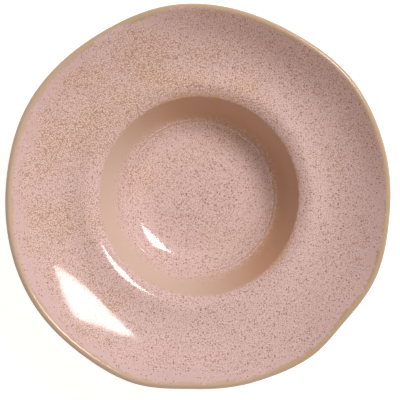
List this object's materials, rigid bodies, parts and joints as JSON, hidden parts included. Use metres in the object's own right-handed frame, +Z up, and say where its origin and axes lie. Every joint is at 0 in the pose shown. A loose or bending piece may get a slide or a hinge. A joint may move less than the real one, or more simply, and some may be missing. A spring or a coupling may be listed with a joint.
{
  "type": "pasta bowl",
  "caption": "Wide-rimmed stoneware pasta bowl with a round well, a softly cornered dished rim and a turned foot ring, glazed in speckled dusty pink with a tan lip.",
  "frame": {"origin": "middle of the foot ring, on the surface that the bowl stands on", "axes": "+Z up; seen from above as in the picture, +X points right and +Y points to the top of the picture"},
  "size_m": [0.2797, 0.2798, 0.0703],
  "materials": {
    "clay": "bare fired stoneware, matte and slightly gritty",
    "face_glaze": "glossy dusty pink glaze with fine brown speckle and ochre clouds, tan where it runs thin",
    "lip_glaze": "glossy tan, glaze broken thin over the round of the lip",
    "underside_glaze": "glossy dusty pink glaze with fine brown speckle"
  },
  "bodies": {
    "root": {"clay_body": "clay", "face_glaze": "face_glaze", "lip_glaze": "lip_glaze", "underside_glaze": "underside_glaze", "base_glaze": "underside_glaze"}
  },
  "joints": []
}
